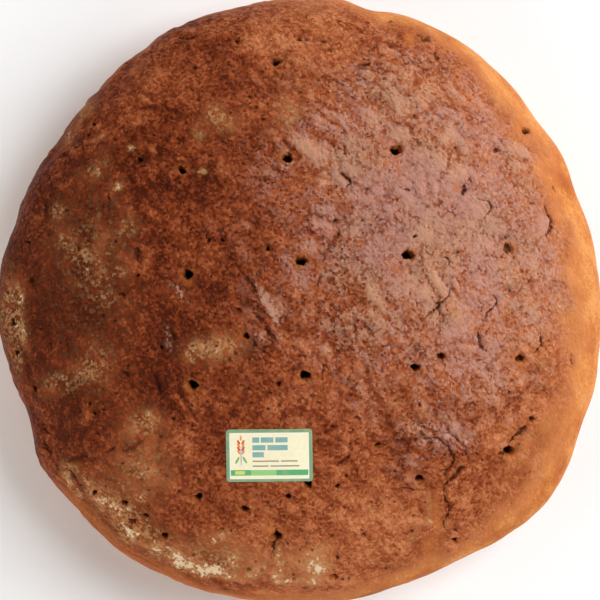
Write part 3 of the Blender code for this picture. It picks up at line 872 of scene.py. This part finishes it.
def add(tree, kind, inputs=None, **settings):
    """A new node with its settings, and its inputs linked or set."""
    node = tree.nodes.new(kind)
    for name, value in settings.items():
        setattr(node, name, value)
    for socket, value in (inputs or {}).items():
        if isinstance(value, bpy.types.NodeSocket):
            tree.links.new(value, node.inputs[socket])
        else:
            node.inputs[socket].default_value = value
    return node


def calculate(tree, operation, first, second=0.0, third=0.0):
    return add(tree, "ShaderNodeMath", {0: first, 1: second, 2: third}, operation=operation).outputs[0]


def product(tree, first, *others):
    for other in others:
        first = calculate(tree, "MULTIPLY", first, other)
    return first


def ramp(tree, value, start, end, low=0.0, high=1.0):
    """A smooth rise from low to high as the value goes from start to end."""
    inputs = {0: value, 1: start, 2: end, 3: low, 4: high}
    return add(tree, "ShaderNodeMapRange", inputs, interpolation_type="SMOOTHSTEP").outputs[0]


def blend(tree, factor, first, second, blend_type="MIX"):
    node = add(tree, "ShaderNodeMix", {0: factor}, data_type="RGBA", blend_type=blend_type)
    for index, value in ((6, first), (7, second)):
        if isinstance(value, bpy.types.NodeSocket):
            tree.links.new(value, node.inputs[index])
        else:
            node.inputs[index].default_value = (*value, 1.0)
    return node.outputs[2]


def grey(tree, shade):
    return add(tree, "ShaderNodeCombineColor", {0: shade, 1: shade, 2: shade}).outputs[0]


def colour_scale(tree, value, stops):
    """A colour for each value from 0 to 1, from (position, colour) stops."""
    node = add(tree, "ShaderNodeValToRGB", {0: value})
    elements = node.color_ramp.elements
    for index, (position, colour) in enumerate(stops):
        element = elements[index] if index < len(elements) else elements.new(position)
        element.position = position
        element.color = (*colour, 1.0)
    return node.outputs[0]


def measure(tree, name):
    return add(tree, "ShaderNodeAttribute", attribute_name=name).outputs["Fac"]


def vector(tree, operation, inputs, output=0):
    return add(tree, "ShaderNodeVectorMath", inputs, operation=operation).outputs[output]


def millimetres(tree):
    """The object's own coordinates, in millimetres."""
    place = add(tree, "ShaderNodeTexCoord").outputs["Object"]
    return vector(tree, "SCALE", {0: place, "Scale": 1 / MM})


def cloud(tree, place, length, detail=2.0, roughness=0.5):
    """Noise from 0 to 1 with a wavelength in millimetres."""
    inputs = {"Vector": place, "Scale": 1 / length, "Detail": detail, "Roughness": roughness}
    return add(tree, "ShaderNodeTexNoise", inputs).outputs[0]


def squeezed_place(tree, place):
    """The place squeezed along the way that the folds run, as in along_grain."""
    angle = math.radians(GRAIN_TURN)
    way = (math.cos(angle), math.sin(angle), 0.0)
    along = vector(tree, "DOT_PRODUCT", {0: place, 1: way}, "Value")
    share = product(tree, along, 1 / GRAIN_STRETCH - 1)
    return vector(tree, "ADD", {0: place, 1: vector(tree, "SCALE", {0: way, "Scale": share})})


def cells(tree, place, length):
    """Cells of a size in millimetres: distance from the middle, and two random values for each."""
    node = add(tree, "ShaderNodeTexVoronoi", {"Vector": place, "Scale": 1 / length})
    random = add(tree, "ShaderNodeSeparateColor", {0: node.outputs["Color"]})
    return node.outputs["Distance"], random.outputs[0], random.outputs[1]


def weighted(tree, base, *terms):
    """The base plus each value's departure from a half, times its weight."""
    for value, weight in terms:
        away = calculate(tree, "SUBTRACT", value, 0.5)
        base = calculate(tree, "MULTIPLY_ADD", away, weight, base)
    return base


def bumped(tree, height, depth, under=None):
    """A surface normal for a height of 0 to 1 that stands for a depth in millimetres."""
    inputs = {"Height": height, "Distance": depth * MM, "Strength": 1.0}
    if under is not None:
        inputs["Normal"] = under
    return add(tree, "ShaderNodeBump", inputs).outputs[0]


def crust_material():
    material, tree, shader = new_material("rye_crust")
    place = millimetres(tree)
    names = ("roast_and_painted_light", "rim", "painted_sheen", "flour", "ridge", "crack", "prick", "glow", "foot")
    roast_and_painted_light, rim, painted_sheen, flour, ridge, crack, prick, glow, foot = (measure(tree, name) for name in names)
    rough = calculate(tree, "MULTIPLY_ADD", rim, -0.6, 1.0)
    squeezed = squeezed_place(tree, place)
    broad = cloud(tree, place, BROAD, 3.0)
    patchy = cloud(tree, squeezed, PATCHY, 2.0)
    blotch = cloud(tree, squeezed, BLOTCH, 4.0, 0.62)
    mottle = cloud(tree, squeezed, MOTTLE, 3.0, 0.62)
    _, grain, second_grain = cells(tree, place, GRAIN)
    pit_reach, pit_chance, _ = cells(tree, place, PIT)

    # Speckle is the crust's own grain, mottle and blotches, plus fold ridges painted paler and valleys
    # darker as painted highlight and shade
    speckle = weighted(tree, 0.0, (grain, 0.40), (mottle, 0.48), (blotch, 0.48), (ridge, -0.30))
    speckle = product(tree, speckle, rough)
    tone = weighted(tree, roast_and_painted_light, (broad, 0.45), (patchy, 0.40))
    tone = calculate(tree, "MULTIPLY_ADD", painted_sheen, SHEEN_UNDERTONE, calculate(tree, "ADD", tone, speckle))
    colour = colour_scale(tree, tone, CRUST_COLOURS)

    # Painted sheen in pale flecks, most on fold ridges, where light glances off the crust
    fleck = weighted(tree, painted_sheen, (second_grain, 0.9), (mottle, 1.2), (patchy, 1.4), (ridge, 0.8))
    fleck = product(tree, ramp(tree, fleck, 0.15, 1.4, 0.0, 0.75), ramp(tree, painted_sheen, 0.0, 0.5))
    pale = blend(tree, ramp(tree, broad, 0.40, 0.62), SHEEN_COLOUR, WARM_SHEEN_COLOUR)
    colour = blend(tree, fleck, colour, pale)

    # Smooth skin on the rim, palest on the right
    right = add(tree, "ShaderNodeSeparateXYZ", {0: place}).outputs[0]
    rim_tone = weighted(tree, 0.5, (broad, 1.1), (patchy, 1.1), (blotch, 0.9), (mottle, 0.4), (grain, 0.25))
    rim_tone = calculate(tree, "MULTIPLY_ADD", right, RIM_SLOPE, rim_tone)
    skin = product(tree, rim, weighted(tree, 1.0, (patchy, 0.9), (mottle, 0.9), (grain, 0.4)))
    colour = blend(tree, ramp(tree, skin, 0.0, 1.0), colour, colour_scale(tree, rim_tone, RIM_COLOURS))

    # Flour lies as a thin haze with thicker grains in it
    clump = cloud(tree, place, CLUMP, 4.0, 0.7)
    uneven = weighted(tree, 0.65, (clump, 1.6), (mottle, 1.6), (grain, 1.6))
    haze = ramp(tree, product(tree, flour, uneven), 0.06, 0.80, 0.0, 0.65)
    thick = weighted(tree, flour, (clump, 2.6), (second_grain, 1.3), (mottle, 1.4))
    thick = ramp(tree, thick, 1.15, 1.85, 0.0, 0.90)
    dusted = calculate(tree, "MAXIMUM", haze, thick)
    colour = blend(tree, haze, colour, HAZE_COLOUR)
    colour = blend(tree, thick, colour, FLOUR_COLOUR)

    # Small pits of burst bubbles, painted dark as the shade in them
    pit_reach = weighted(tree, pit_reach, (mottle, 1.2))
    pit = ramp(tree, pit_reach, 0.30, 0.16)
    here = ramp(tree, pit_chance, 0.86, 0.94)
    off_sheen = ramp(tree, painted_sheen, 0.0, 1.0, 1.0, 0.25)
    off_rim = ramp(tree, rim, 0.05, 0.60, 1.0, 0.0)
    pit = product(tree, pit, here, off_sheen, off_rim)
    colour = blend(tree, product(tree, pit, 0.70), colour, HOLE_SHADE)

    # Thin crust glows round a prick and in tears, and the insides of pricks and cracks are painted dark as
    # shade
    jagged = weighted(tree, 1.0, (cloud(tree, place, JAGGED, 2.0, 0.6), 1.8), (grain, 0.6))
    glow = ramp(tree, product(tree, glow, jagged), 0.1, 1.0, 0.0, 0.75)
    crack = ramp(tree, product(tree, crack, jagged), 0.22, 0.90, 0.0, 0.92)
    colour = blend(tree, glow, colour, PALE_SKIN)
    colour = blend(tree, crack, colour, CRACK_SHADE)
    colour = blend(tree, product(tree, prick, 0.95), colour, HOLE_SHADE)
    bottom = blend(tree, ramp(tree, blotch, 0.35, 0.65), FOOT_COLOUR, FLOUR_COLOUR)
    colour = blend(tree, foot, colour, bottom)
    tree.links.new(colour, shader.inputs["Base Color"])

    gloss = weighted(tree, 0.42, (mottle, 0.30), (blotch, 0.25))
    gloss = calculate(tree, "MULTIPLY_ADD", rim, 0.18, gloss)
    gloss = calculate(tree, "MULTIPLY_ADD", dusted, 0.40, gloss)
    tree.links.new(gloss, shader.inputs["Roughness"])
    shader.inputs["Specular IOR Level"].default_value = CRUST_SPECULAR

    soft = bumped(tree, product(tree, mottle, rough), MOTTLE_DEPTH)
    fine = weighted(tree, 0.5, (cloud(tree, place, FINE, 1.0), 1.6), (grain, 0.5))
    fine = product(tree, fine, rough)
    fine = calculate(tree, "MULTIPLY_ADD", dusted, 0.6, fine)
    fine = calculate(tree, "MULTIPLY_ADD", pit, -1.5, fine)
    tree.links.new(bumped(tree, fine, FINE_DEPTH, soft), shader.inputs["Normal"])
    return material


def box_mask(tree, u, v, left, right, low, high):
    """1 inside a rectangle of the label, in millimetres from its lower left corner."""
    mask = calculate(tree, "GREATER_THAN", u, left)
    limits = ((u, right, "LESS_THAN"), (v, low, "GREATER_THAN"), (v, high, "LESS_THAN"))
    for value, limit, operation in limits:
        mask = product(tree, mask, calculate(tree, operation, value, limit))
    return mask


def leaf_mask(tree, u, v, x, y, length, width, turn):
    """1 inside a slim ellipse of the label."""
    angle = math.radians(turn)
    du = calculate(tree, "SUBTRACT", u, x)
    dv = calculate(tree, "SUBTRACT", v, y)
    along = product(tree, du, 2 * math.cos(angle) / length)
    along = calculate(tree, "MULTIPLY_ADD", dv, 2 * math.sin(angle) / length, along)
    across = product(tree, dv, 2 * math.cos(angle) / width)
    across = calculate(tree, "MULTIPLY_ADD", du, -2 * math.sin(angle) / width, across)
    square = product(tree, along, along)
    square = calculate(tree, "MULTIPLY_ADD", across, across, square)
    return calculate(tree, "LESS_THAN", square, 1.0)


def label_material():
    material, tree, shader = new_material("label_paper")
    flat = add(tree, "ShaderNodeSeparateXYZ", {0: add(tree, "ShaderNodeUVMap", uv_map="print").outputs[0]})
    u, v = flat.outputs[0], flat.outputs[1]
    place = millimetres(tree)
    colour = blend(tree, 0.0, LABEL_GREEN, LABEL_GREEN)
    for box, tint in LABEL_FIELDS:
        colour = blend(tree, box_mask(tree, u, v, *box), colour, tint)
    for x, y, length, width, turn, tint in LABEL_LEAVES:
        colour = blend(tree, leaf_mask(tree, u, v, x, y, length, width, turn), colour, tint)
    fibre = cloud(tree, place, FIBRE, 4.0, 0.6)
    stain = ramp(tree, cloud(tree, place, STAIN, 2.0), 0.45, 0.75, 0.0, 0.16)
    colour = blend(tree, stain, colour, LABEL_STAIN)
    shade = ramp(tree, fibre, 0.2, 0.8, 0.93, 1.0)
    colour = blend(tree, 1.0, colour, grey(tree, shade), "MULTIPLY")
    tree.links.new(colour, shader.inputs["Base Color"])
    tree.links.new(ramp(tree, fibre, 0.2, 0.8, 0.42, 0.60), shader.inputs["Roughness"])
    tree.links.new(bumped(tree, fibre, PAPER_DEPTH), shader.inputs["Normal"])
    return material


def floor_material():
    material, tree, shader = new_material("pale_floor")
    place = millimetres(tree)
    shade = ramp(tree, cloud(tree, place, FLOOR_SHADES, 3.0), 0.3, 0.7, 0.90, 0.93)
    tree.links.new(grey(tree, shade), shader.inputs["Base Color"])
    shader.inputs["Roughness"].default_value = 0.9
    shader.inputs["Specular IOR Level"].default_value = 0.1
    return material


# Floor, light and camera


def make_floor():
    mesh = bpy.data.meshes.new("floor")
    plane = bmesh.new()
    bmesh.ops.create_grid(plane, x_segments=1, y_segments=1, size=FLOOR_REACH)
    plane.to_mesh(mesh)
    plane.free()
    mesh.materials.append(floor_material())
    floor = new_object("floor", mesh)
    floor.location.z = -FLOOR_DROP


def make_light(name, azimuth, elevation, distance, size, brightness, colour):
    """A square soft light that faces the loaf, with a brightness that white paper would show."""
    light = bpy.data.lights.new(name, "AREA")
    light.shape = "SQUARE"
    light.size = size
    light.energy = brightness * math.pi * size**2
    light.color = colour
    lamp = new_object(name, light)
    turn, rise = math.radians(azimuth), math.radians(elevation)
    away = Vector((math.cos(turn) * math.cos(rise), math.sin(turn) * math.cos(rise), math.sin(rise)))
    lamp.location = away * distance
    lamp.rotation_mode = "QUATERNION"
    lamp.rotation_quaternion = away.to_track_quat("Z", "Y")


def light_the_room():
    world = bpy.data.worlds.new("studio")
    world.use_nodes = True
    background = world.node_tree.nodes["Background"]
    background.inputs["Color"].default_value = (*ROOM_COLOUR, 1.0)
    background.inputs["Strength"].default_value = ROOM_BRIGHTNESS
    bpy.context.scene.world = world
    for light in LIGHTS:
        make_light(*light)


def make_camera():
    """Straight above the loaf, framed as the picture is."""
    data = bpy.data.cameras.new("camera")
    data.sensor_width = SENSOR_WIDTH
    data.lens = SENSOR_WIDTH * (EYE_HEIGHT - WIDEST_HEIGHT) / (PIXEL_SPAN * PICTURE_PIXELS)
    camera = new_object("camera", data)
    camera.location = (0, 0, EYE_HEIGHT * MM)
    bpy.context.scene.camera = camera


def dress():
    crust = make_crust()
    crust.data.materials.append(crust_material())
    label = make_label(crust)
    label.data.materials.append(label_material())
    for piece, node, slot in ((crust, "loaf", "crust"), (label, "label", "label_paper")):
        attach(piece, "root")
        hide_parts(node)


make_camera()
make_floor()
light_the_room()
dress()
bpy.context.scene.view_settings.view_transform = "Standard"
